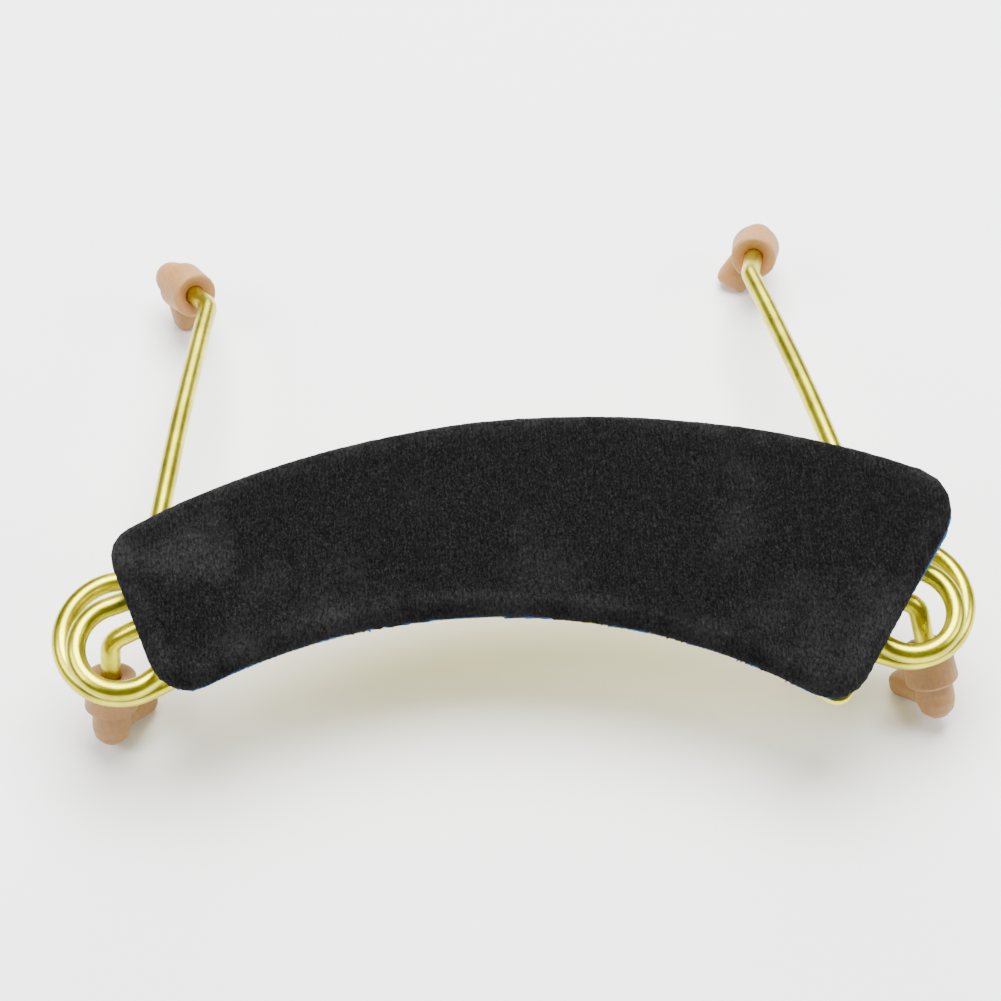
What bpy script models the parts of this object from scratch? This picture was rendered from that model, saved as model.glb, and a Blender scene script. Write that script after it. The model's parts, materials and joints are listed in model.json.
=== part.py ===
"""Violin shoulder rest: a curved velvet pad on a metal plate, carried by two sprung wire legs.

The pad is a banana-shaped sandwich of metal plate, foam and velvet.  Each side has one
wire, bent as a mirror image of the other: it starts in a rubber foot at the back, runs
forward as a long leg, winds a flat coil of two turns beyond the end of the pad, and
drops out of the middle of the coil into a second rubber foot.  Under the plate the wire
has a short straight, and a riveted leaf with a rolled knuckle holds it there, so the
whole leg can rock a little against its own spring.

Metres, +Z up, +X along the pad, +Y towards the long legs.  The design is laid out from the
middle of the pad, and the finished model is shifted so that the origin is under the
middle of its box, on the floor that the toes stand on.
"""

import math

import bmesh
import bpy
from mathutils import Vector

MM = 0.001
GAP = 0.3 * MM
MERGE_DISTANCE = 0.0001 * MM

# Pad outline: two arcs joined by two straight ends with rounded corners.
PAD_TOP_HEIGHT = 46.0 * MM
PAD_SLOPE = 0.19
PAD_LEVEL_Y = -8.2 * MM
PAD_END_LIFT = 6.0 * MM
PAD_LIFT_SPAN = 95.0 * MM
BACK_ARC_CENTRE = (6.4 * MM, -166.2 * MM)
BACK_ARC_RADIUS = 186.0 * MM
FRONT_ARC_CENTRE = (-11.5 * MM, -159.2 * MM)
FRONT_ARC_RADIUS = 129.3 * MM
LEFT_END_POINT = (-88.4 * MM, -29.7 * MM)
LEFT_END_NORMAL = 198.5
RIGHT_END_POINT = (91.4 * MM, -35.3 * MM)
RIGHT_END_NORMAL = -34.5
CORNER_RADIUS = {"left_back": 8.0 * MM, "right_back": 11.0 * MM,
                 "right_front": 9.0 * MM, "left_front": 9.0 * MM}
PLATE_CORNER_RADIUS = {**CORNER_RADIUS, "right_front": 5.4 * MM}
ARC_STEPS = 22
CORNER_STEPS = 4

# The three layers of the pad.
PLATE_THICKNESS = 1.4 * MM
FOAM_THICKNESS = 4.3 * MM
VELVET_THICKNESS = 1.2 * MM
VELVET_ROUND = 2.0 * MM
VELVET_HEM_LIFT = 1.3 * MM
FOAM_INSET = 0.3 * MM
PLATE_INSET = 1.8 * MM

# Wire.  Each coil has two turns, the outer one lower; places are from its centre, and x
# grows outwards on both sides.
WIRE_RADIUS = 2.4 * MM
WIRE_SIDES = 10
WIRE_ARC_STEP = 16.0
COIL_CENTRE = {"left": (92.2 * MM, -23.95 * MM), "right": (92.85 * MM, -26.85 * MM)}
TURN_FORWARD = (0.0, 5.7 * MM)
TURN_RADIUS = (14.5 * MM, 10.6 * MM)
TURN_LEVEL = (28.6 * MM, 34.2 * MM)
TURN_START = (90.0, 72.0)
TURN_END = (-117.0, -126.0)
COIL_SLOPE = 0.22
COIL_LEVEL_Y = -28.2 * MM
LEG_CORNER = (-6.2 * MM, 14.5 * MM)
LEG_CROWN_LIFT = 5.0 * MM
LEG_CROWN_RADIUS = 350.0 * MM
LEG_CORNER_RADIUS = 6.5 * MM
LEG_CORNER_LEVEL = 30.1 * MM
KNUCKLE_ENTRY_Y = -2.9 * MM
KNUCKLE_EXIT_Y = 14.0 * MM
KNUCKLE_BEND_RADIUS = 5.5 * MM

# Corners under the plate as (x, y, level) and bend radius: one into the knuckle's straight
# after the outer turn, and two that close the inner turn.
OUTER_CORNER = ((-13.3 * MM, -9.5 * MM, 28.0 * MM), 6.0 * MM)
INNER_CORNERS = (((-15.2 * MM, -7.7 * MM, 34.4 * MM), 5.0 * MM),
                 ((-15.2 * MM, 4.4 * MM, 33.2 * MM), 5.0 * MM))
BACK_BEND_LENGTH = {"left": 7.8 * MM, "right": 12.0 * MM}
BACK_BEND_RADIUS = 7.0 * MM
FRONT_BEND_RADIUS = 4.5 * MM
FRONT_LEG_LENGTH = {"left": 8.6 * MM, "right": 10.5 * MM}

# Rubber feet, along their own axis from the mouth that the wire enters.
FOOT_SIDES = 24
FOOT_MOUTH_RADIUS = 6.0 * MM
FOOT_RIM_RADIUS = 6.4 * MM
FOOT_COLLAR_LENGTH = 9.5 * MM
FOOT_HEEL_RADIUS = 4.65 * MM
FOOT_HEEL_CENTRE = 14.6 * MM
FOOT_BORE_RADIUS = WIRE_RADIUS + GAP
FOOT_BORE_DEPTH = 12.3 * MM
WIRE_IN_FOOT = FOOT_BORE_DEPTH - GAP
RIM_ROUND = 0.5 * MM
TOE_CENTRE = 13.6 * MM
TOE_REACH = 14.5 * MM
TOE_WIDTH = 9.0 * MM
TOE_THICKNESS = 6.4 * MM
TOE_SIDES = 16
TOE_SQUARENESS = 0.6
SOLE_CUT = 0.7 * MM

# Sections of a toe as (reach, half width, half thickness), in shares of its sizes, root to tip.
TOE_SECTIONS = ((0.22, 0.42, 0.40), (0.38, 0.43, 0.40), (0.62, 0.47, 0.45), (0.85, 0.5, 0.5),
                (0.96, 0.46, 0.45), (1.0, 0.38, 0.36))

# Each foot: where the middle of its mouth is in plan, its axis, and the way its toe points.
FEET = {
    "left_back": {"mouth": (-75.2 * MM, 93.2 * MM), "axis": (-0.45, 0.81, -0.38),
                  "toe": (0.26, -0.25, -0.93)},
    "right_back": {"mouth": (73.6 * MM, 96.2 * MM), "axis": (0.22, 0.87, -0.45),
                   "toe": (-0.53, -0.38, -0.76)},
    "left_front": {"mouth": (-96.2 * MM, -26.6 * MM), "axis": (-0.08, -0.42, -0.90),
                   "toe": (0.51, 0.78, -0.37)},
    "right_front": {"mouth": (97.7 * MM, -33.7 * MM), "axis": (0.19, -0.52, -0.83),
                    "toe": (-0.38, 0.75, -0.52)},
}

# Knuckle leaf that holds the wire's short straight under the plate, and its rivets.
KNUCKLE_INWARD = 26.3 * MM
KNUCKLE_BACK = 3.5 * MM
KNUCKLE_WIDTH = 5.0 * MM
KNUCKLE_SIDES = 20
LEAF_THICKNESS = 1.2 * MM
LEAF_LENGTH = 17.0 * MM
LEAF_WIDTH = 16.0 * MM
LEAF_ROOT_SHARE = 0.2
RIVET_SHANK_RADIUS = 1.3 * MM
RIVET_HEAD_RADIUS = 2.5 * MM
RIVET_HEAD_HEIGHT = 1.2 * MM
RIVET_SHANK_SHORT = 0.1 * MM
RIVET_PLACES = ((7.0 * MM, -5.0 * MM), (7.0 * MM, 5.0 * MM), (13.5 * MM, 0.0))
RIVET_DOME = ((1.0, 0.0), (0.94, 0.45), (0.6, 0.85), (0.0, 1.0))
RIVET_HOLE_LENGTH = 8.0 * MM
RIVET_SIDES = 12

SIGN = {"left": -1.0, "right": 1.0}
KNUCKLE_DROP = GAP + LEAF_THICKNESS + GAP + WIRE_RADIUS
PAD_THICKNESS = PLATE_THICKNESS + GAP + FOAM_THICKNESS + GAP + VELVET_THICKNESS


# ---------------------------------------------------------------- materials

def plain_material(name, colour, roughness, metallic=0.0):
    """A plain Principled material."""
    material = bpy.data.materials.new(name)
    material.use_nodes = True
    shader = material.node_tree.nodes["Principled BSDF"]
    shader.inputs["Base Color"].default_value = (*colour, 1.0)
    shader.inputs["Roughness"].default_value = roughness
    shader.inputs["Metallic"].default_value = metallic
    return material


def gold(name):
    return plain_material(name, (0.62, 0.55, 0.13), 0.3, 1.0)


# ---------------------------------------------------------------- mesh helpers

def clear_scene():
    for item in list(bpy.data.objects):
        bpy.data.objects.remove(item, do_unlink=True)


def finish_mesh(name, mesh_data, material, sharp_angle=40.0, origin=Vector()):
    """Turn a bmesh into a named object with outward faces, smooth round stretches and an origin."""
    bmesh.ops.remove_doubles(mesh_data, verts=mesh_data.verts, dist=MERGE_DISTANCE)
    bmesh.ops.recalc_face_normals(mesh_data, faces=mesh_data.faces)
    bmesh.ops.translate(mesh_data, verts=mesh_data.verts, vec=-origin)
    mesh = bpy.data.meshes.new(name)
    mesh_data.to_mesh(mesh)
    mesh_data.free()
    mesh.shade_smooth()
    mesh.set_sharp_from_angle(angle=math.radians(sharp_angle))
    mesh.materials.append(material)
    piece = bpy.data.objects.new(name, mesh)
    piece.location = origin
    bpy.context.scene.collection.objects.link(piece)
    return piece


def as_guide(piece):
    """Keep an object as a cutter or a joining shape only."""
    piece.hide_render = True
    piece.display_type = "WIRE"
    return piece


def combine(piece, guide, operation):
    modifier = piece.modifiers.new(guide.name, "BOOLEAN")
    modifier.operation = operation
    modifier.solver = "EXACT"
    modifier.object = guide


def bridge(mesh_data, lower, upper):
    """Join two closed loops of equally many vertices with quads."""
    count = len(lower)
    for i in range(count):
        j = (i + 1) % count
        mesh_data.faces.new((lower[i], lower[j], upper[j], upper[i]))


def arc(centre, radius, start, end, steps):
    """Points on an arc, both ends included; angles in degrees."""
    points = []
    for i in range(steps + 1):
        angle = math.radians(start + (end - start) * i / steps)
        points.append((centre[0] + radius * math.cos(angle), centre[1] + radius * math.sin(angle)))
    return points


def ring_points(sides, start=0.0):
    """Cosine and sine of evenly spaced angles once round."""
    angles = [2.0 * math.pi * (i + start) / sides for i in range(sides)]
    return [(math.cos(angle), math.sin(angle)) for angle in angles]


def turned_solid(profile, origin, axis, across, sides):
    """A closed solid of revolution; the profile is (radius, reach along the axis), end to end."""
    mesh_data = bmesh.new()
    other = axis.cross(across)
    rings = []
    for radius, reach in profile:
        centre = origin + axis * reach
        if radius == 0.0:
            rings.append([mesh_data.verts.new(centre)])
        else:
            rings.append([mesh_data.verts.new(centre + across * (radius * c) + other * (radius * s))
                          for c, s in ring_points(sides)])
    for lower, upper in zip(rings, rings[1:]):
        if len(lower) == len(upper):
            bridge(mesh_data, lower, upper)
            continue
        tip, ring = (lower[0], upper) if len(lower) == 1 else (upper[0], lower)
        for i in range(sides):
            mesh_data.faces.new((tip, ring[i], ring[(i + 1) % sides]))
    return mesh_data


# ---------------------------------------------------------------- pad

def pad_height(x, y):
    """Height of the velvet's top: sloping to the front, and lifted towards both ends."""
    lift = PAD_END_LIFT * (x / PAD_LIFT_SPAN) ** 2
    return PAD_TOP_HEIGHT + PAD_SLOPE * (y - PAD_LEVEL_Y) + lift


def underside(x, y):
    """Height of the plate's lower face."""
    return pad_height(x, y) - PAD_THICKNESS


def unit(angle):
    return Vector((math.cos(math.radians(angle)), math.sin(math.radians(angle))))


def corner_centre(arc_centre, reach, end_point, normal, radius):
    """Centre of a corner round that touches a straight end and an arc (reach: centre distance)."""
    outward = unit(normal)
    along = Vector((-outward.y, outward.x))
    start = Vector(end_point) - outward * radius - Vector(arc_centre)
    half = start.dot(along)
    root = math.sqrt(half * half - start.dot(start) + reach * reach)
    nearest = min((-half + root, -half - root), key=abs)
    return Vector(arc_centre) + start + along * nearest


def direction(start, end):
    return math.degrees(math.atan2(end[1] - start[1], end[0] - start[0]))


def pad_outline(inset, rounds):
    """The pad's rim in plan, drawn inwards by inset, as a back half and a front half."""
    ends = {"left": (LEFT_END_POINT, LEFT_END_NORMAL), "right": (RIGHT_END_POINT, RIGHT_END_NORMAL)}
    centres = {}
    for corner, radius in rounds.items():
        side, edge = corner.split("_")
        is_back = edge == "back"
        arc_centre = BACK_ARC_CENTRE if is_back else FRONT_ARC_CENTRE
        reach = BACK_ARC_RADIUS - radius if is_back else FRONT_ARC_RADIUS + radius
        centres[corner] = corner_centre(arc_centre, reach, *ends[side], radius)
    middle = {side: Vector(point) - unit(normal) * inset for side, (point, normal) in ends.items()}

    def round_corner(corner, start, end):
        return arc(centres[corner], rounds[corner] - inset, start, end, CORNER_STEPS)

    back_left = direction(BACK_ARC_CENTRE, centres["left_back"])
    back_right = direction(BACK_ARC_CENTRE, centres["right_back"])
    front_left = direction(FRONT_ARC_CENTRE, centres["left_front"])
    front_right = direction(FRONT_ARC_CENTRE, centres["right_front"])
    back = [tuple(middle["left"])]
    back += round_corner("left_back", LEFT_END_NORMAL, back_left)
    back += arc(BACK_ARC_CENTRE, BACK_ARC_RADIUS - inset, back_left, back_right, ARC_STEPS)[1:-1]
    back += round_corner("right_back", back_right, RIGHT_END_NORMAL)
    back.append(tuple(middle["right"]))
    front = round_corner("left_front", LEFT_END_NORMAL, front_left + 180.0)
    front += arc(FRONT_ARC_CENTRE, FRONT_ARC_RADIUS + inset, front_left, front_right, ARC_STEPS)[1:-1]
    front += round_corner("right_front", front_right - 180.0, RIGHT_END_NORMAL)
    return back, front


def pad_layer(name, levels, material, rounds=CORNER_RADIUS):
    """A closed solid through loops of the pad's rim; levels are (inset, depth below the top)."""
    mesh_data = bmesh.new()
    loops = []
    for inset, depth in levels:
        back, front = pad_outline(inset, rounds)
        halves = [[mesh_data.verts.new((x, y, pad_height(x, y) - depth)) for x, y in half]
                  for half in (back, front)]
        loops.append(halves)
    rims = [back + front[::-1] for back, front in loops]
    for lower, upper in zip(rims, rims[1:]):
        bridge(mesh_data, lower, upper)
    for back, front in (loops[0], loops[-1]):
        inner = back[1:-1]
        mesh_data.faces.new((back[0], inner[0], front[0]))
        mesh_data.faces.new((back[-1], front[-1], inner[-1]))
        for i in range(len(inner) - 1):
            mesh_data.faces.new((inner[i], inner[i + 1], front[i + 1], front[i]))
    bmesh.ops.recalc_face_normals(mesh_data, faces=mesh_data.faces)
    bmesh.ops.triangulate(mesh_data, faces=mesh_data.faces, quad_method="SHORT_EDGE")
    return finish_mesh(name, mesh_data, material)


def build_pad():
    velvet_inside = VELVET_THICKNESS + GAP
    plate_top = PAD_THICKNESS - PLATE_THICKNESS
    foam_bottom = plate_top - GAP
    hem = foam_bottom - VELVET_HEM_LIFT
    plate = pad_layer("base_plate", [(PLATE_INSET, PAD_THICKNESS), (PLATE_INSET, plate_top)],
                      gold("plate_gold"), PLATE_CORNER_RADIUS)
    pad_layer("foam_pad",
              [(FOAM_INSET, foam_bottom), (FOAM_INSET, hem + GAP), (velvet_inside, hem + GAP),
               (velvet_inside, velvet_inside)],
              plain_material("foam_blue", (0.04, 0.2, 0.55), 0.9))
    pad_layer("velvet_cover",
              [(VELVET_THICKNESS, VELVET_THICKNESS), (VELVET_THICKNESS, hem), (0.0, hem),
               (0.0, VELVET_ROUND), (VELVET_ROUND, 0.0)],
              plain_material("velvet_black", (0.016, 0.016, 0.017), 0.95))
    return plate


# ---------------------------------------------------------------- feet

def toe_frame(axis, toe):
    """Directions across the toe and through its thickness."""
    across = axis.cross(toe).normalized()
    return across, toe.cross(across)


def foot_place(name):
    """Mouth centre, axis and toe direction; the toe's lowest point is cut flat at the floor."""
    foot = FEET[name]
    axis = Vector(foot["axis"]).normalized()
    toe = Vector(foot["toe"]).normalized()
    across, through = toe_frame(axis, toe)
    lowest = 0.0
    for reach, width, thickness in TOE_SECTIONS:
        spine = axis * TOE_CENTRE + toe * (TOE_REACH * reach)
        spread = math.hypot(across.z * TOE_WIDTH * width, through.z * TOE_THICKNESS * thickness)
        lowest = min(lowest, spine.z - spread)
    return Vector((*foot["mouth"], -lowest - SOLE_CUT)), axis, toe


def foot_profile():
    """Foot body as (radius, distance from the mouth), from the bore's end to the heel's tip."""
    profile = [(0.0, FOOT_BORE_DEPTH), (FOOT_BORE_RADIUS, FOOT_BORE_DEPTH), (FOOT_BORE_RADIUS, 0.0),
               (FOOT_MOUTH_RADIUS - RIM_ROUND, 0.0), (FOOT_MOUTH_RADIUS, RIM_ROUND),
               (FOOT_RIM_RADIUS, FOOT_COLLAR_LENGTH - RIM_ROUND),
               (FOOT_RIM_RADIUS - RIM_ROUND, FOOT_COLLAR_LENGTH),
               (FOOT_HEEL_RADIUS, FOOT_COLLAR_LENGTH + GAP)]
    for angle in (0.0, 30.0, 60.0):
        heel = unit(angle) * FOOT_HEEL_RADIUS
        profile.append((heel.x, FOOT_HEEL_CENTRE + heel.y))
    profile.append((0.0, FOOT_HEEL_CENTRE + FOOT_HEEL_RADIUS))
    return profile


def build_toe(name, material):
    """The toe: rounded sections from inside the heel to the tip, cut flat where it stands."""
    mouth, axis, toe = foot_place(name)
    across, through = toe_frame(axis, toe)
    mesh_data = bmesh.new()
    loops = []
    for reach, width, thickness in TOE_SECTIONS:
        spine = mouth + axis * TOE_CENTRE + toe * (TOE_REACH * reach)
        loop = []
        for c, s in ring_points(TOE_SIDES, 0.5):
            wide = math.copysign(abs(c) ** TOE_SQUARENESS, c) * TOE_WIDTH * width
            thick = math.copysign(abs(s) ** TOE_SQUARENESS, s) * TOE_THICKNESS * thickness
            loop.append(mesh_data.verts.new(spine + across * wide + through * thick))
        loops.append(loop)
    for lower, upper in zip(loops, loops[1:]):
        bridge(mesh_data, lower, upper)
    mesh_data.faces.new(loops[0])
    mesh_data.faces.new(loops[-1])
    geometry = mesh_data.verts[:] + mesh_data.edges[:] + mesh_data.faces[:]
    below = bmesh.ops.bisect_plane(mesh_data, geom=geometry, plane_co=(0.0, 0.0, 0.0),
                                   plane_no=(0.0, 0.0, -1.0), clear_outer=True)
    rim = [edge for edge in below["geom_cut"] if isinstance(edge, bmesh.types.BMEdge)]
    bmesh.ops.contextual_create(mesh_data, geom=rim)
    return as_guide(finish_mesh(name + "_toe_guide", mesh_data, material, origin=mouth))


def build_foot(name, material):
    """Rubber foot: a turned collar and heel with a blind bore, joined to a flat-soled toe."""
    mouth, axis, toe = foot_place(name)
    across, _ = toe_frame(axis, toe)
    turned = turned_solid(foot_profile(), mouth, axis, across, FOOT_SIDES)
    body = finish_mesh(name + "_foot", turned, material, origin=mouth)
    combine(body, build_toe(name, material), "UNION")


# ---------------------------------------------------------------- knuckle axis

def plate_frame(side_name):
    """Origin on the plate's underside at the knuckle, with inboard, back and up directions."""
    side = SIGN[side_name]
    centre_x, centre_y = COIL_CENTRE[side_name]
    x = side * (centre_x - KNUCKLE_INWARD)
    y = centre_y + KNUCKLE_BACK
    origin = Vector((x, y, underside(x, y)))
    rise = 2.0 * PAD_END_LIFT * x / PAD_LIFT_SPAN ** 2
    back = Vector((0.0, 1.0, PAD_SLOPE)).normalized()
    inboard = Vector((-side, 0.0, -side * rise))
    inboard = (inboard - back * inboard.dot(back)).normalized()
    up = back.cross(inboard) * side
    return origin, inboard, back, up


def pivot_point(side_name):
    """The middle of a knuckle's axis, which its wire rocks about."""
    origin, _, _, up = plate_frame(side_name)
    return origin - up * KNUCKLE_DROP


def knuckle_point(side_name, y):
    """The point of a knuckle's axis at the given y."""
    _, _, back, _ = plate_frame(side_name)
    centre = pivot_point(side_name)
    return centre + back * ((y - centre.y) / back.y)


# ---------------------------------------------------------------- wire

def coil_point(side_name, x, y, level):
    """A point of a coil from its outward and backward distances to the coil's centre."""
    centre_x, centre_y = COIL_CENTRE[side_name]
    height = level + COIL_SLOPE * (centre_y + y - COIL_LEVEL_Y)
    return Vector((SIGN[side_name] * (centre_x + x), centre_y + y, height))


def wire_route(side_name):
    """A wire's corners as (point, bend radius), from its back foot to its front foot."""
    back_mouth, back_axis, _ = foot_place(side_name + "_back")
    front_mouth, front_axis, _ = foot_place(side_name + "_front")
    back_bend = back_mouth - back_axis * BACK_BEND_LENGTH[side_name]
    leg_corner = coil_point(side_name, *LEG_CORNER, LEG_CORNER_LEVEL)
    crown = (back_bend + leg_corner) / 2.0 + Vector((0.0, 0.0, LEG_CROWN_LIFT))
    route = [(back_mouth + back_axis * WIRE_IN_FOOT, 0.0), (back_bend, BACK_BEND_RADIUS),
             (crown, LEG_CROWN_RADIUS), (leg_corner, LEG_CORNER_RADIUS)]
    coil_y = COIL_CENTRE[side_name][1]
    outer_corner, outer_radius = OUTER_CORNER
    corners_after = (
        [(coil_point(side_name, *outer_corner), outer_radius),
         (knuckle_point(side_name, coil_y + KNUCKLE_ENTRY_Y), KNUCKLE_BEND_RADIUS),
         (knuckle_point(side_name, coil_y + KNUCKLE_EXIT_Y), KNUCKLE_BEND_RADIUS)],
        [(coil_point(side_name, *place), radius) for place, radius in INNER_CORNERS])
    for turn in range(2):
        steps = round((TURN_START[turn] - TURN_END[turn]) / WIRE_ARC_STEP)
        middle = (0.0, -TURN_FORWARD[turn])
        for x, y in arc(middle, TURN_RADIUS[turn], TURN_START[turn], TURN_END[turn], steps):
            route.append((coil_point(side_name, x, y, TURN_LEVEL[turn]), 0.0))
        route += corners_after[turn]
    front_bend = front_mouth - front_axis * FRONT_LEG_LENGTH[side_name]
    route += [(front_bend, FRONT_BEND_RADIUS), (front_mouth + front_axis * WIRE_IN_FOOT, 0.0)]
    return route


def bent_path(route, step=WIRE_ARC_STEP):
    """Points along the route, with each corner rounded to its bend radius."""
    points = [route[0][0]]
    for (before, _), (corner, radius), (after, _) in zip(route, route[1:], route[2:]):
        if radius == 0.0:
            points.append(corner)
            continue
        incoming = (corner - before).normalized()
        outgoing = (after - corner).normalized()
        turn = incoming.angle(outgoing)
        tangent = radius * math.tan(turn / 2.0)
        start = corner - incoming * tangent
        inward = (outgoing - incoming * outgoing.dot(incoming)).normalized()
        count = max(2, math.ceil(math.degrees(turn) / step))
        for i in range(count + 1):
            angle = turn * i / count
            points.append(start + incoming * (radius * math.sin(angle))
                          + inward * (radius * (1.0 - math.cos(angle))))
    points.append(route[-1][0])
    return points


def build_wire(side_name, material):
    """A round rod swept along its route."""
    points = bent_path(wire_route(side_name))
    mesh_data = bmesh.new()
    rings = []
    normal = None
    for i, point in enumerate(points):
        before = points[max(i - 1, 0)]
        after = points[min(i + 1, len(points) - 1)]
        tangent = (after - before).normalized()
        if normal is None:
            normal = tangent.orthogonal()
        normal = (normal - tangent * normal.dot(tangent)).normalized()
        binormal = tangent.cross(normal)
        rings.append([mesh_data.verts.new(point + (normal * c + binormal * s) * WIRE_RADIUS)
                      for c, s in ring_points(WIRE_SIDES)])
    for lower, upper in zip(rings, rings[1:]):
        bridge(mesh_data, lower, upper)
    mesh_data.faces.new(rings[0])
    mesh_data.faces.new(rings[-1])
    return finish_mesh(side_name + "_spring_leg", mesh_data, material, 50.0, pivot_point(side_name))


# ---------------------------------------------------------------- leaves and rivets

def swept_prism(mesh_data, outline, origin, right, up, depth_way, half_depth):
    """A closed prism over an outline drawn in the right/up plane."""
    loops = []
    for sign in (-1.0, 1.0):
        loops.append([mesh_data.verts.new(origin + right * x + up * z + depth_way * (half_depth * sign))
                      for x, z in outline])
    bridge(mesh_data, loops[0], loops[1])
    mesh_data.faces.new(loops[0])
    mesh_data.faces.new(loops[1])


def bore_guide(name, centre, axis, radius, length, sides):
    """A cylinder used only as a cutter."""
    half = length / 2.0
    mesh_data = turned_solid([(0.0, -half), (radius, -half), (radius, half), (0.0, half)],
                             centre, axis, axis.orthogonal().normalized(), sides)
    return as_guide(finish_mesh(name, mesh_data, bpy.data.materials["plate_gold"]))


def build_leaf(side_name, plate):
    """Hinge leaf with a rolled knuckle round the wire, and its rivets through the plate."""
    origin, inboard, back, up = plate_frame(side_name)
    eye_inner = WIRE_RADIUS + GAP
    eye_outer = eye_inner + LEAF_THICKNESS
    top = -GAP
    bottom = top - LEAF_THICKNESS
    root = -eye_outer * LEAF_ROOT_SHARE
    leaf_mesh = bmesh.new()
    outline = [(root, top), (LEAF_LENGTH, top), (LEAF_LENGTH, bottom), (root, bottom)]
    swept_prism(leaf_mesh, outline, origin, inboard, up, back, LEAF_WIDTH / 2.0)
    material = gold(side_name + "_leaf_gold")
    leaf = finish_mesh(side_name + "_hinge_leaf", leaf_mesh, material)
    eye_mesh = bmesh.new()
    circle = [(eye_outer * c, -KNUCKLE_DROP + eye_outer * s) for c, s in ring_points(KNUCKLE_SIDES)]
    swept_prism(eye_mesh, circle, origin, inboard, up, back, KNUCKLE_WIDTH / 2.0)
    combine(leaf, as_guide(finish_mesh(side_name + "_knuckle_guide", eye_mesh, material)), "UNION")
    bore_radius = eye_inner / math.cos(math.pi / KNUCKLE_SIDES)
    combine(leaf, bore_guide(side_name + "_bore_guide", pivot_point(side_name), back, bore_radius,
                             KNUCKLE_WIDTH * 2.0, KNUCKLE_SIDES), "DIFFERENCE")
    for number, (reach, offset) in enumerate(RIVET_PLACES, 1):
        foot = origin + inboard * reach + back * offset
        foot.z = underside(foot.x, foot.y)
        hole = bore_guide(f"{side_name}_hole_guide_{number}", foot, up, RIVET_SHANK_RADIUS + GAP,
                          RIVET_HOLE_LENGTH, RIVET_SIDES)
        combine(leaf, hole, "DIFFERENCE")
        combine(plate, hole, "DIFFERENCE")
        build_rivet(f"{side_name}_rivet_{number}", foot, up)


def build_rivet(name, foot, up):
    """Domed rivet: head under the leaf, shank up through leaf and plate."""
    head_top = -(GAP + LEAF_THICKNESS + GAP)
    shank_top = PLATE_THICKNESS - RIVET_SHANK_SHORT
    profile = [(0.0, shank_top), (RIVET_SHANK_RADIUS, shank_top), (RIVET_SHANK_RADIUS, head_top)]
    profile += [(RIVET_HEAD_RADIUS * share, head_top - RIVET_HEAD_HEIGHT * drop)
                for share, drop in RIVET_DOME]
    mesh_data = turned_solid(profile, foot, up, up.orthogonal().normalized(), RIVET_SIDES)
    return finish_mesh(name, mesh_data, gold(name + "_gold"))


# ---------------------------------------------------------------- assembly

def stand_on_origin():
    """Shift the model so that the origin is under the middle of its box."""
    corners = [piece.location + vertex.co for piece in bpy.data.objects for vertex in piece.data.vertices]
    shift = Vector([(min(p[i] for p in corners) + max(p[i] for p in corners)) / 2.0 for i in range(2)])
    for piece in bpy.data.objects:
        piece.location -= shift.to_3d()


def main():
    clear_scene()
    plate = build_pad()
    for side_name in SIGN:
        build_wire(side_name, gold(side_name + "_wire_gold"))
        for end in ("front", "back"):
            name = f"{side_name}_{end}"
            build_foot(name, plain_material(name + "_rubber", (0.58, 0.36, 0.22), 0.6))
        build_leaf(side_name, plate)
    stand_on_origin()


main()
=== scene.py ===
"""Looks of the violin shoulder rest: velvet pad on blue foam, anodised wire and tan rubber feet."""

import json
import math

import bmesh
import bpy
import numpy as np
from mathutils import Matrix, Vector, noise


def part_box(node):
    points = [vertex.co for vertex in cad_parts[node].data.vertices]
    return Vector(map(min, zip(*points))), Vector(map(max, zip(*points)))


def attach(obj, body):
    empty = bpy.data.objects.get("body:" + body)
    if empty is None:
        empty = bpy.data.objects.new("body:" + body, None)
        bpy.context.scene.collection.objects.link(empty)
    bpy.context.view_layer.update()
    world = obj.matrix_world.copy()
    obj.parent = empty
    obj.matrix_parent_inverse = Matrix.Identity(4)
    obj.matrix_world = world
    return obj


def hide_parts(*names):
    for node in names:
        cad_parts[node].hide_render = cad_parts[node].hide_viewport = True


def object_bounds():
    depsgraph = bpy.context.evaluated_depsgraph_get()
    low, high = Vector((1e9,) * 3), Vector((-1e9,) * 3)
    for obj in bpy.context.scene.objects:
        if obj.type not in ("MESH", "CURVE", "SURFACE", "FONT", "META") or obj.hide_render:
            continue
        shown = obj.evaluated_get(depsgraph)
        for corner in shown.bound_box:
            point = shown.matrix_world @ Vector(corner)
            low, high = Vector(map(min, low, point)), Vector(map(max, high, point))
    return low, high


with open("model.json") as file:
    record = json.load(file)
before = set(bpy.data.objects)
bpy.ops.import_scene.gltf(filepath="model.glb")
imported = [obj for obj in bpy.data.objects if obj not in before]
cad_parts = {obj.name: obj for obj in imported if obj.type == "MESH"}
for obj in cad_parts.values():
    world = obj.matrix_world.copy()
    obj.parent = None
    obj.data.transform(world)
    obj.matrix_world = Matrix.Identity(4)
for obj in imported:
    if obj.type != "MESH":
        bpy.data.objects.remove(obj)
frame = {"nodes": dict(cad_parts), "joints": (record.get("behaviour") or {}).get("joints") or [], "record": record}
cad_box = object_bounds()

MM = 0.001
MERGE = 1e-6

# Camera: looks down on the pad from the chin's side, a little from the left.
CAMERA_AIM = Vector((-1.8, -28.1, 43.0)) * MM
CAMERA_DISTANCE = 0.662
CAMERA_ELEVATION = 52.0
CAMERA_AZIMUTH = -4.3
LENS = 100.0
SENSOR = 36.0

# Mesh fineness and softness, as (voxel, smoothing steps).
RUBBER_FINENESS = (0.25 * MM, 4)
SHEET_METAL_FINENESS = (0.25 * MM, 4)
RIVET_FINENESS = (0.16 * MM, 4)
VELVET_FINENESS = (0.62 * MM, 7)
FOAM_FINENESS = (0.42 * MM, 3)

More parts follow.
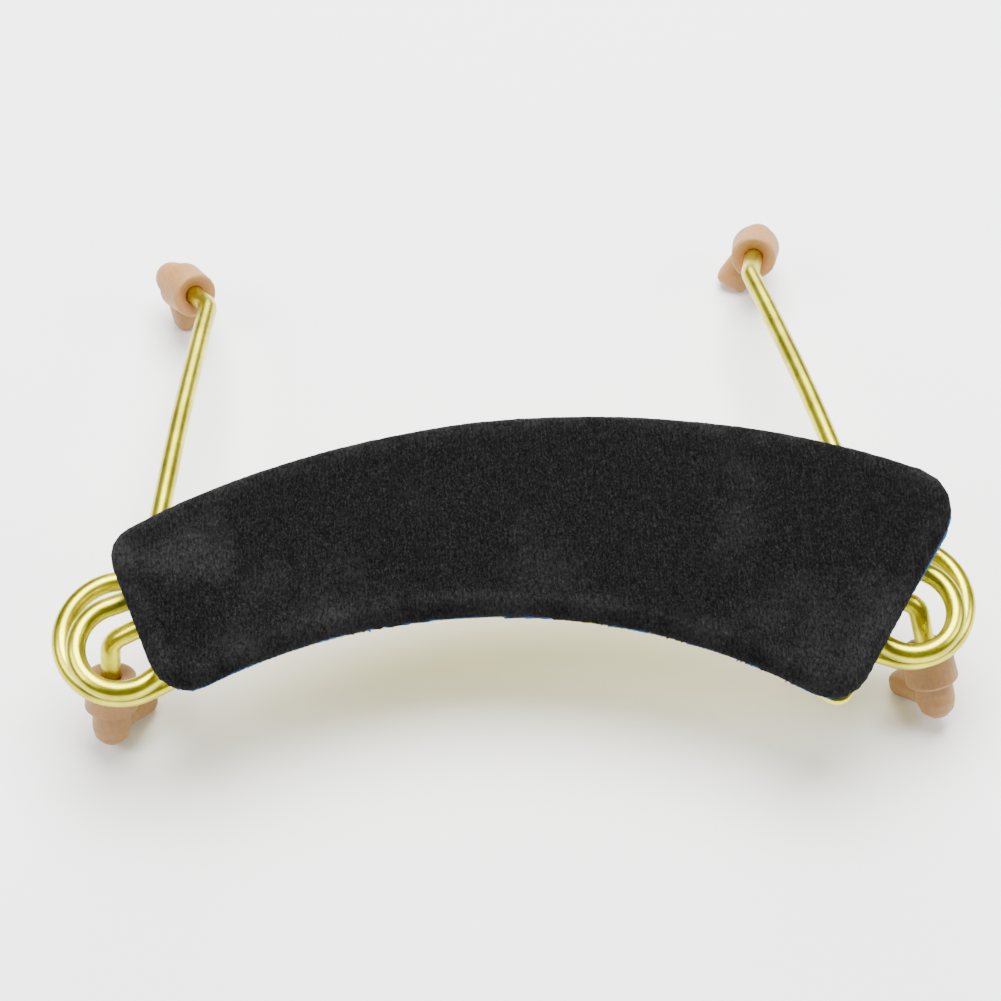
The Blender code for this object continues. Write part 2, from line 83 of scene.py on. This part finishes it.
# Plate: width of its eased edges, and the angles (degrees) that tell flat, cut and sharp edges apart.
PLATE_EDGE = 0.25 * MM
PLATE_FLAT_ANGLE = 0.4
PLATE_CUT_ANGLE = 50.0
PLATE_SHARP_ANGLE = 35.0

# Wire
WIRE_CURVE_STEPS = 5
WIRE_ROUND_STEPS = 6
WIRE_END_SEARCH = 4.0 * MM
WIRE_END_SLACK = 0.05 * MM

# Foot mouth: a shallow dish round the wire, with a lip that hugs it, and painted shade that darkens the dish.
DISH_RADIUS = 5.8 * MM
DISH_DEPTH = 1.5 * MM
LIP_RADIUS = 3.3 * MM
LIP_CLOSING = 0.30 * MM
MOUTH_REACH = 3.0 * MM
MOUTH_PAINTED_SHADE_GAIN = 2.2

# Velvet: how level a normal is on the rim, on the top and below which it faces down.
RIM_SLOPE = 0.3
RIM_STRIDE = 6
TOP_SLOPE = 0.95
DOWNWARD_SLOPE = -0.5

# Velvet and foam relief
VELVET_SWELL = 0.35 * MM
VELVET_SWELL_SIZE = 26.0 * MM
VELVET_NAP = 0.10 * MM
VELVET_NAP_SIZE = 1.6 * MM
EDGE_BAND = 5.0 * MM
HEM_DEPTH = 3.0 * MM
HEM_DROP = 1.5 * MM
HEM_RISE = 0.6 * MM
HEM_WAVE_SIZE = 7.0 * MM
BARE_END_LENGTH = 25.0 * MM
FOAM_PUSH = 0.6 * MM
FOAM_PULL = 0.6 * MM

# Painted sheen: pale patches where the pad's surface turns to catch the light, as (x, y, reach) and strength, and
# how ragged each patch is.
PAINTED_SHEEN_PATCHES = (((-77.0 * MM, -42.0 * MM, 15.0 * MM), 1.0),
           ((72.0 * MM, -74.0 * MM, 24.0 * MM), 0.55),
           ((5.0 * MM, -76.0 * MM, 16.0 * MM), 0.35))
SHEEN_PATCH_SQUASH = 1.3
SHEEN_PATCH_RAGGEDNESS = 0.6
SHEEN_PATCH_RAGGED_SIZE = 8.0 * MM
SHEEN_PATCH_GAIN = 1.4
FOAM_CELL = 0.08 * MM
FOAM_CELL_SIZE = 0.9 * MM

# Studio: name, elevation and azimuth in degrees, distance and size in metres, power in watts.
LAMPS = (("overhead_softbox", 74.0, 170.0, 0.9, 0.8, 34.0),
         ("left_softbox", 42.0, -80.0, 0.9, 0.5, 6.0),
         ("right_softbox", 34.0, 80.0, 0.9, 0.4, 4.0),
         ("rear_softbox", 32.0, 175.0, 0.9, 0.6, 6.0))
WORLD_STRENGTH = 0.30
FLOOR_HALF_SIZE = 3.0


# ---------------------------------------------------------------- materials

class Finish:
    """One procedural material, built node by node from object coordinates in metres."""

    def __init__(self, name):
        self.material = bpy.data.materials.new(name)
        self.material.use_nodes = True
        self.tree = self.material.node_tree
        self.shader = self.tree.nodes["Principled BSDF"]
        self.place = self.tree.nodes.new("ShaderNodeTexCoord").outputs["Object"]

    def node(self, kind, **values):
        made = self.tree.nodes.new(kind)
        for name, value in values.items():
            self.feed(made.inputs[name.replace("_", " ")], value)
        return made

    def feed(self, socket, value):
        if isinstance(value, bpy.types.NodeSocket):
            self.tree.links.new(value, socket)
        else:
            socket.default_value = value

    def set(self, **values):
        for name, value in values.items():
            self.feed(self.shader.inputs[name.replace("_", " ")], value)

    def stretched(self, x, y, z):
        return self.node("ShaderNodeMapping", Vector=self.place, Scale=(x, y, z)).outputs["Vector"]

    def noise(self, size, detail=3.0, roughness=0.55, place=None):
        """Noise with features of about that size in metres (in the place's own units if given)."""
        return self.node("ShaderNodeTexNoise", Vector=place or self.place, Scale=1.0 / size,
                         Detail=detail, Roughness=roughness).outputs[0]

    def remap(self, value, low, high, new_low, new_high):
        made = self.node("ShaderNodeMapRange", Value=value, From_Min=low, From_Max=high,
                         To_Min=new_low, To_Max=new_high)
        return made.outputs["Result"]

    def math(self, operation, first, second):
        made = self.tree.nodes.new("ShaderNodeMath")
        made.operation = operation
        self.feed(made.inputs[0], first)
        self.feed(made.inputs[1], second)
        return made.outputs[0]

    def mix(self, factor, first, second):
        made = self.tree.nodes.new("ShaderNodeMix")
        made.data_type = "RGBA"
        self.feed(made.inputs[0], factor)
        for socket, colour in ((made.inputs[6], first), (made.inputs[7], second)):
            self.feed(socket, colour if isinstance(colour, bpy.types.NodeSocket) else (*colour, 1.0))
        return made.outputs[2]

    def painted(self, attribute):
        made = self.tree.nodes.new("ShaderNodeAttribute")
        made.attribute_name = attribute
        return made.outputs["Fac"]

    def relief(self, height, distance, under=None):
        made = self.node("ShaderNodeBump", Height=height, Distance=distance, Strength=1.0)
        if under is not None:
            self.feed(made.inputs["Normal"], under)
        return made.outputs["Normal"]


def anodised_gold(name, bright, deep, roughness):
    """Satin anodised aluminium: cloudy colour, faint pits and a slightly wavy drawn surface."""
    finish = Finish(name)
    clouds = finish.noise(9.0 * MM, 4.0)
    fine = finish.noise(0.7 * MM, 2.0, 0.6)
    tint = finish.mix(finish.remap(clouds, 0.35, 0.65, 0.0, 1.0), bright, deep)
    specks = finish.remap(fine, 0.62, 0.75, 0.0, 0.14)
    finish.set(Base_Color=finish.mix(specks, tint, [0.6 * c for c in deep]), Metallic=1.0)
    finish.set(Roughness=finish.remap(fine, 0.3, 0.7, roughness - 0.03, roughness + 0.04))
    wavy = finish.relief(finish.noise(5.0 * MM, 2.0), 0.035 * MM)
    finish.set(Normal=finish.relief(finish.noise(0.4 * MM, 2.0), 0.0018 * MM, wavy))
    return finish.material


def tan_rubber():
    """Moulded tan rubber: soft mottling, painted shade darkening the dished mouth and a fine matt grain."""
    finish = Finish("tan_rubber")
    mottle = finish.remap(finish.noise(5.0 * MM, 4.0), 0.3, 0.7, 0.0, 1.0)
    body = finish.mix(mottle, (0.28, 0.138, 0.038), (0.335, 0.172, 0.052))
    dust = finish.remap(finish.noise(1.1 * MM, 3.0), 0.5, 0.8, 0.0, 0.5)
    dusty = finish.mix(dust, body, (0.41, 0.235, 0.09))
    # Painted shade: the dished mouth is darkened towards a deep brown.
    finish.set(Base_Color=finish.mix(finish.painted("mouth_painted_shade"), dusty, (0.24, 0.078, 0.013)))
    finish.set(Roughness=finish.remap(finish.noise(0.8 * MM, 2.0), 0.3, 0.7, 0.5, 0.66))
    finish.set(Subsurface_Weight=0.08, Subsurface_Scale=0.9 * MM, Subsurface_Radius=(1.0, 0.5, 0.25))
    lumps = finish.relief(finish.noise(2.2 * MM, 2.0), 0.06 * MM)
    finish.set(Normal=finish.relief(finish.noise(0.25 * MM, 3.0), 0.012 * MM, lumps))
    return finish.material


def ribbed_velvet():
    """Charcoal velvet: fine ribs along Y, clumped pile, random brushed patches, painted sheen patches and a paler
    edge.
    """
    finish = Finish("ribbed_velvet")
    ribs = finish.tree.nodes.new("ShaderNodeTexWave")
    ribs.wave_type = "BANDS"
    ribs.bands_direction = "X"
    finish.feed(ribs.inputs["Vector"], finish.place)
    for name, value in (("Scale", 330.0), ("Distortion", 3.4), ("Detail", 3.0), ("Detail Scale", 1.1)):
        ribs.inputs[name].default_value = value
    pile = finish.noise(1.0, 3.0, 0.65, finish.stretched(1700.0, 900.0, 900.0))
    knots = finish.noise(2.4 * MM, 3.0, 0.6)
    strands = finish.noise(1.0, 2.0, 0.7, finish.stretched(2600.0, 2100.0, 2100.0))
    hairs = finish.remap(strands, 0.52, 0.68, 0.0, 1.0)
    # Painted sheen patches from the mesh, joined with random brushed patches in the pile.
    brushing_and_sheen = finish.math("MAXIMUM", finish.painted("brushing_and_sheen"),
                          finish.remap(finish.noise(30.0 * MM, 4.0, 0.6), 0.55, 0.75, 0.0, 0.7))
    # Paler towards the rim, in patches.
    paler_rim = finish.math("MULTIPLY", finish.painted("edge_band"),
                       finish.remap(finish.noise(9.0 * MM, 3.0), 0.35, 0.65, 0.1, 1.0))
    grain = finish.math("MULTIPLY", finish.remap(pile, 0.38, 0.72, 0.0, 0.8),
                        finish.remap(ribs.outputs["Fac"], 0.0, 1.0, 0.5, 1.0))
    grain = finish.math("MULTIPLY", grain, finish.remap(knots, 0.35, 0.7, 0.3, 1.1))
    # Painted sheen, brushed patches and the paler edge lighten the pile.
    brushing_sheen_and_rim = finish.math("ADD", finish.math("MULTIPLY", brushing_and_sheen, 0.75), finish.math("MULTIPLY", paler_rim, 0.85))
    brushing_sheen_and_rim = finish.math("MULTIPLY", brushing_sheen_and_rim, finish.remap(pile, 0.35, 0.7, 0.25, 1.0))
    lifted = finish.math("ADD", finish.math("MULTIPLY", grain, 0.55), finish.math("MULTIPLY", brushing_sheen_and_rim, 0.6))
    lifted = finish.math("ADD", lifted, finish.math("MULTIPLY", hairs, 0.42))
    finish.set(Base_Color=finish.mix(lifted, (0.0006, 0.0006, 0.0007), (0.024, 0.024, 0.0245)))
    finish.set(Roughness=finish.remap(knots, 0.3, 0.7, 0.82, 0.95), Specular_IOR_Level=0.04)
    finish.set(Sheen_Weight=0.025, Sheen_Roughness=0.45, Sheen_Tint=(0.55, 0.55, 0.60, 1.0))
    ribbed = finish.relief(ribs.outputs["Fac"], 0.10 * MM)
    finish.set(Normal=finish.relief(pile, 0.22 * MM, ribbed))
    return finish.material


def blue_foam():
    """Fine-cell blue foam: pale cell walls over deeper blue pores."""
    finish = Finish("blue_foam")
    foam = finish.node("ShaderNodeTexVoronoi", Vector=finish.place, Scale=1.0 / (0.45 * MM))
    cells = foam.outputs["Distance"]
    shade = finish.remap(cells, 0.1, 0.7, 0.0, 1.0)
    tint = finish.remap(finish.noise(7.0 * MM, 3.0), 0.3, 0.7, 0.0, 0.4)
    blue = finish.mix(tint, (0.018, 0.115, 0.38), (0.04, 0.19, 0.52))
    finish.set(Base_Color=finish.mix(shade, (0.015, 0.075, 0.26), blue), Specular_IOR_Level=0.2)
    finish.set(Roughness=finish.remap(shade, 0.0, 1.0, 0.95, 0.8))
    finish.set(Normal=finish.relief(cells, 0.12 * MM))
    return finish.material


def studio_floor():
    """Plain pale paper with a faint fibre."""
    finish = Finish("studio_paper")
    fibre = finish.noise(3.0 * MM, 4.0)
    finish.set(Base_Color=finish.mix(fibre, (0.95, 0.95, 0.95), (0.98, 0.98, 0.98)), Roughness=0.9)
    finish.set(Normal=finish.relief(fibre, 0.02 * MM))
    return finish.material


# ---------------------------------------------------------------- mesh helpers

def new_piece(name, mesh, material, body, nodes):
    """A visible piece that stands for CAD nodes and rides on their body."""
    piece = bpy.data.objects.new(name, mesh)
    bpy.context.scene.collection.objects.link(piece)
    mesh.materials.clear()
    mesh.materials.append(material)
    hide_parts(*nodes)
    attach(piece, body)
    return piece


def body_of(node):
    return next(body for body, nodes in frame["record"]["behaviour"]["bodies"].items() if node in nodes)


def welded(node):
    """A node's mesh as a bmesh, with the corners that faces share joined."""
    mesh_data = bmesh.new()
    mesh_data.from_mesh(frame["nodes"][node].data)
    bmesh.ops.remove_doubles(mesh_data, verts=mesh_data.verts, dist=MERGE)
    return mesh_data


def evaluated(mesh_data, modifiers):
    """A new mesh: the bmesh after a list of (modifier type, settings)."""
    mesh = bpy.data.meshes.new("draft")
    mesh_data.to_mesh(mesh)
    mesh_data.free()
    draft = bpy.data.objects.new("draft", mesh)
    bpy.context.scene.collection.objects.link(draft)
    for kind, settings in modifiers:
        modifier = draft.modifiers.new(kind, kind)
        for name, value in settings.items():
            setattr(modifier, name, value)
    graph = bpy.context.evaluated_depsgraph_get()
    result = bpy.data.meshes.new_from_object(draft.evaluated_get(graph))
    bpy.data.objects.remove(draft, do_unlink=True)
    bpy.data.meshes.remove(mesh)
    result.shade_smooth()
    return result


def remeshed(node, fineness):
    """The node's shape as a fine, softly rounded mesh."""
    voxel, steps = fineness
    return evaluated(welded(node), [("REMESH", {"mode": "VOXEL", "voxel_size": voxel}),
                                    ("SMOOTH", {"factor": 0.5, "iterations": steps})])


# ---------------------------------------------------------------- wire

def foot_joint(foot):
    return next(joint for joint in frame["joints"] if joint["child"] == foot)


def wire_rings(side):
    """The wire's rings of corners in order, found by walking its mesh from the back foot's end."""
    joint = foot_joint(f"{side}_back_foot")
    axis = Vector(joint["axis"])
    mouth = Vector(joint["pos_m"])
    mesh_data = welded(f"{side}_spring_leg")
    reach = {v: (v.co - mouth).dot(axis) for v in mesh_data.verts}
    near = [v for v in mesh_data.verts if (v.co - mouth - axis * reach[v]).length < WIRE_END_SEARCH]
    end = max(reach[v] for v in near)
    ring = {v for v in near if reach[v] > end - WIRE_END_SLACK}
    seen = set(ring)
    rings = []
    while ring:
        rings.append([v.co.copy() for v in ring])
        ring = {e.other_vert(v) for v in ring for e in v.link_edges} - seen
        seen |= ring
    mesh_data.free()
    return rings


def build_wire(side, material):
    """A smooth round rod through the middles of the CAD wire's rings."""
    rings = wire_rings(side)
    middles = [sum(ring, Vector()) / len(ring) for ring in rings]
    radius = sum((co - middles[0]).length for co in rings[0]) / len(rings[0])
    curve = bpy.data.curves.new("draft", "CURVE")
    curve.dimensions = "3D"
    curve.bevel_depth = radius
    curve.bevel_resolution = WIRE_ROUND_STEPS
    curve.resolution_u = WIRE_CURVE_STEPS
    curve.use_fill_caps = True
    spline = curve.splines.new("BEZIER")
    spline.bezier_points.add(len(middles) - 1)
    for i, point in enumerate(spline.bezier_points):
        before = middles[max(i - 1, 0)]
        after = middles[min(i + 1, len(middles) - 1)]
        along = (after - before).normalized()
        point.handle_left_type = "FREE"
        point.handle_right_type = "FREE"
        point.co = middles[i]
        point.handle_left = middles[i] - along * ((middles[i] - before).length / 3.0)
        point.handle_right = middles[i] + along * ((after - middles[i]).length / 3.0)
    draft = bpy.data.objects.new("draft", curve)
    bpy.context.scene.collection.objects.link(draft)
    graph = bpy.context.evaluated_depsgraph_get()
    mesh = bpy.data.meshes.new_from_object(draft.evaluated_get(graph))
    bpy.data.objects.remove(draft, do_unlink=True)
    mesh.shade_smooth()
    node = f"{side}_spring_leg"
    return new_piece(f"{side}_leg_wire", mesh, material, body_of(node), [node])


# ---------------------------------------------------------------- feet

def build_foot(name, material):
    """Moulded rubber foot with a dished mouth that closes on the wire, and painted shade in the dish."""
    node = f"{name}_foot"
    joint = foot_joint(node)
    axis = Vector(joint["axis"])
    mouth = Vector(joint["pos_m"])
    mesh = remeshed(node, RUBBER_FINENESS)
    shade = mesh.attributes.new("mouth_painted_shade", "FLOAT", "POINT")
    for vertex in mesh.vertices:
        reach = (vertex.co - mouth).dot(axis)
        out = vertex.co - mouth - axis * reach
        if reach > MOUTH_REACH or out.length > DISH_RADIUS:
            continue
        # Painted shade: darkest in the middle of the dish, fading out along the axis.
        hollow = 0.5 + 0.5 * math.cos(math.pi * out.length / DISH_RADIUS)
        fading = max(0.0, 1.0 - max(reach, 0.0) / MOUTH_REACH)
        shade.data[vertex.index].value = min(1.0, MOUTH_PAINTED_SHADE_GAIN * hollow) * fading
        vertex.co += axis * (DISH_DEPTH * hollow * fading)
        if out.length < LIP_RADIUS:
            vertex.co -= out.normalized() * (LIP_CLOSING * fading)
    return new_piece(f"{name}_boot", mesh, material, body_of(node), [node])


# ---------------------------------------------------------------- pad

def rim_distance(mesh):
    """How far each vertex is from the nearest steep face of the pad's rim, in plan."""
    steep = [v.co.to_2d() for v in mesh.vertices if abs(v.normal.z) < RIM_SLOPE]
    cell = EDGE_BAND
    grid = {}
    for point in steep:
        grid.setdefault((round(point.x / cell), round(point.y / cell)), []).append(point)
    distances = []
    for vertex in mesh.vertices:
        column, row = round(vertex.co.x / cell), round(vertex.co.y / cell)
        cells = [(column + i, row + j) for i in (-1, 0, 1) for j in (-1, 0, 1)]
        close = [p for place in cells for p in grid.get(place, [])[::RIM_STRIDE]]
        flat = vertex.co.to_2d()
        distances.append(min(((p - flat).length for p in close), default=cell))
    return distances


def depth_below_top(mesh):
    """How far each vertex is below the pad's top, whose height is fitted as a + b y + c x^2."""
    places = np.array([v.co for v in mesh.vertices])
    terms = np.column_stack([np.ones(len(places)), places[:, 1], places[:, 0] ** 2])
    top = np.array([v.normal.z > TOP_SLOPE for v in mesh.vertices])
    fitted = np.linalg.lstsq(terms[top], places[top, 2], rcond=None)[0]
    return terms @ fitted - places[:, 2]


def painted_sheen_at(place):
    """How strong the painted sheen is at that place, from 0 to 1."""
    shade = 0.0
    for (x, y, reach), strength in PAINTED_SHEEN_PATCHES:
        away = math.hypot(place.x - x, (place.y - y) * SHEEN_PATCH_SQUASH) / reach
        away += SHEEN_PATCH_RAGGEDNESS * noise.noise(place / SHEEN_PATCH_RAGGED_SIZE)
        shade = max(shade, strength * min(1.0, max(0.0, 1.0 - away)) * SHEEN_PATCH_GAIN)
    return min(1.0, shade)


def build_velvet(material):
    """Velvet over foam: soft rim, slight swell of the glued cloth and a napped surface."""
    mesh = remeshed("velvet_cover", VELVET_FINENESS)
    band = mesh.attributes.new("edge_band", "FLOAT", "POINT")
    brushing_and_sheen = mesh.attributes.new("brushing_and_sheen", "FLOAT", "POINT")
    distances = rim_distance(mesh)
    depths = depth_below_top(mesh)
    bare_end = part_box("velvet_cover")[1].x
    normals = [v.normal.copy() for v in mesh.vertices]
    for vertex, normal, distance, depth in zip(mesh.vertices, normals, distances, depths):
        band.data[vertex.index].value = max(0.0, 1.0 - distance / EDGE_BAND)
        # Painted sheen: pale patches where the surface turns to catch the light.
        brushing_and_sheen.data[vertex.index].value = painted_sheen_at(vertex.co)
        swell = noise.noise(vertex.co / VELVET_SWELL_SIZE) * VELVET_SWELL
        nap = noise.noise(vertex.co / VELVET_NAP_SIZE) * VELVET_NAP
        if normal.z > DOWNWARD_SLOPE:
            vertex.co += normal * (swell * min(1.0, max(normal.z, 0.0) + 0.2) + nap)
        hem = min(1.0, max(0.0, depth / HEM_DEPTH - 1.0))
        covered = min(1.0, (bare_end - vertex.co.x) / BARE_END_LENGTH)
        ragged = 0.8 + 0.6 * noise.noise(vertex.co / HEM_WAVE_SIZE)
        vertex.co.z -= hem * ragged * (HEM_DROP * covered - HEM_RISE * (1.0 - covered))
    piece = new_piece("velvet_skin", mesh, material,
                      body_of("velvet_cover"), ["velvet_cover"])


def build_foam(material):
    """Foam sheet with open cells, tucked under the hem except at the right end, where it shows."""
    mesh = remeshed("foam_pad", FOAM_FINENESS)
    normals = [v.normal.copy() for v in mesh.vertices]
    bare_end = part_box("foam_pad")[1].x
    for vertex, normal in zip(mesh.vertices, normals):
        bared = min(1.0, max(0.0, 1.0 - (bare_end - vertex.co.x) / BARE_END_LENGTH))
        vertex.co += normal.to_2d().to_3d() * (FOAM_PUSH * bared - FOAM_PULL * (1.0 - bared))
        vertex.co += normal * (noise.noise(vertex.co / FOAM_CELL_SIZE) * FOAM_CELL)
    piece = new_piece("foam_sheet", mesh, material, body_of("foam_pad"), ["foam_pad"])


def build_plate(material):
    """The plate with its cut edges eased."""
    mesh_data = welded("base_plate")
    bmesh.ops.dissolve_limit(mesh_data, angle_limit=math.radians(PLATE_FLAT_ANGLE),
                             verts=mesh_data.verts, edges=mesh_data.edges)
    mesh = evaluated(mesh_data, [("BEVEL", {"width": PLATE_EDGE, "segments": 3, "limit_method": "ANGLE",
                                            "angle_limit": math.radians(PLATE_CUT_ANGLE)})])
    mesh.set_sharp_from_angle(angle=math.radians(PLATE_SHARP_ANGLE))
    new_piece("plate_sheet", mesh, material, body_of("base_plate"), ["base_plate"])


def build_leaves(material):
    """Knuckle leaves and their domed rivets, with pressed metal's soft corners."""
    for side in ("left", "right"):
        node = f"{side}_hinge_leaf"
        mesh = remeshed(node, SHEET_METAL_FINENESS)
        new_piece(f"{side}_knuckle_leaf", mesh, material, body_of(node), [node])
        for number in (1, 2, 3):
            rivet = f"{side}_rivet_{number}"
            mesh = remeshed(rivet, RIVET_FINENESS)
            new_piece(f"{side}_domed_rivet_{number}", mesh, material, body_of(rivet), [rivet])


# ---------------------------------------------------------------- studio

def facing(elevation, azimuth):
    """Unit vector from the object towards a camera or lamp."""
    rise, turn = math.radians(elevation), math.radians(azimuth)
    return Vector((math.sin(turn) * math.cos(rise), -math.cos(turn) * math.cos(rise), math.sin(rise)))


def add_camera():
    data = bpy.data.cameras.new("studio_camera")
    data.lens = LENS
    data.sensor_width = SENSOR
    data.clip_start = 0.01
    data.dof.use_dof = False
    camera = bpy.data.objects.new("studio_camera", data)
    bpy.context.scene.collection.objects.link(camera)
    towards = facing(CAMERA_ELEVATION, CAMERA_AZIMUTH)
    camera.location = CAMERA_AIM + towards * CAMERA_DISTANCE
    camera.rotation_euler = towards.to_track_quat("Z", "Y").to_euler()
    bpy.context.scene.camera = camera


def add_lamp(name, elevation, azimuth, distance, size, power):
    data = bpy.data.lights.new(name, "AREA")
    data.shape = "DISK"
    data.size = size
    data.energy = power
    lamp = bpy.data.objects.new(name, data)
    bpy.context.scene.collection.objects.link(lamp)
    towards = facing(elevation, azimuth)
    lamp.location = CAMERA_AIM + towards * distance
    lamp.rotation_euler = towards.to_track_quat("Z", "Y").to_euler()


def add_studio(floor_material):
    mesh_data = bmesh.new()
    bmesh.ops.create_grid(mesh_data, x_segments=1, y_segments=1, size=FLOOR_HALF_SIZE)
    mesh = bpy.data.meshes.new("studio_floor")
    mesh_data.to_mesh(mesh)
    mesh_data.free()
    floor = bpy.data.objects.new("studio_floor", mesh)
    floor.location.z = cad_box[0][2]
    mesh.materials.append(floor_material)
    bpy.context.scene.collection.objects.link(floor)
    for lamp in LAMPS:
        add_lamp(*lamp)
    world = bpy.data.worlds.new("studio_world")
    world.use_nodes = True
    background = world.node_tree.nodes["Background"]
    background.inputs["Color"].default_value = (1.0, 1.0, 1.0, 1.0)
    background.inputs["Strength"].default_value = WORLD_STRENGTH
    bpy.context.scene.world = world


# ---------------------------------------------------------------- assembly

add_camera()
add_studio(studio_floor())
wire_gold = anodised_gold("wire_gold", (0.66, 0.61, 0.035), (0.37, 0.335, 0.020), 0.30)
sheet_gold = anodised_gold("sheet_gold", (0.68, 0.61, 0.06), (0.52, 0.46, 0.03), 0.40)
rubber = tan_rubber()
build_velvet(ribbed_velvet())
build_foam(blue_foam())
build_plate(sheet_gold)
build_leaves(sheet_gold)
for side in ("left", "right"):
    build_wire(side, wire_gold)
    for end in ("front", "back"):
        build_foot(f"{side}_{end}", rubber)
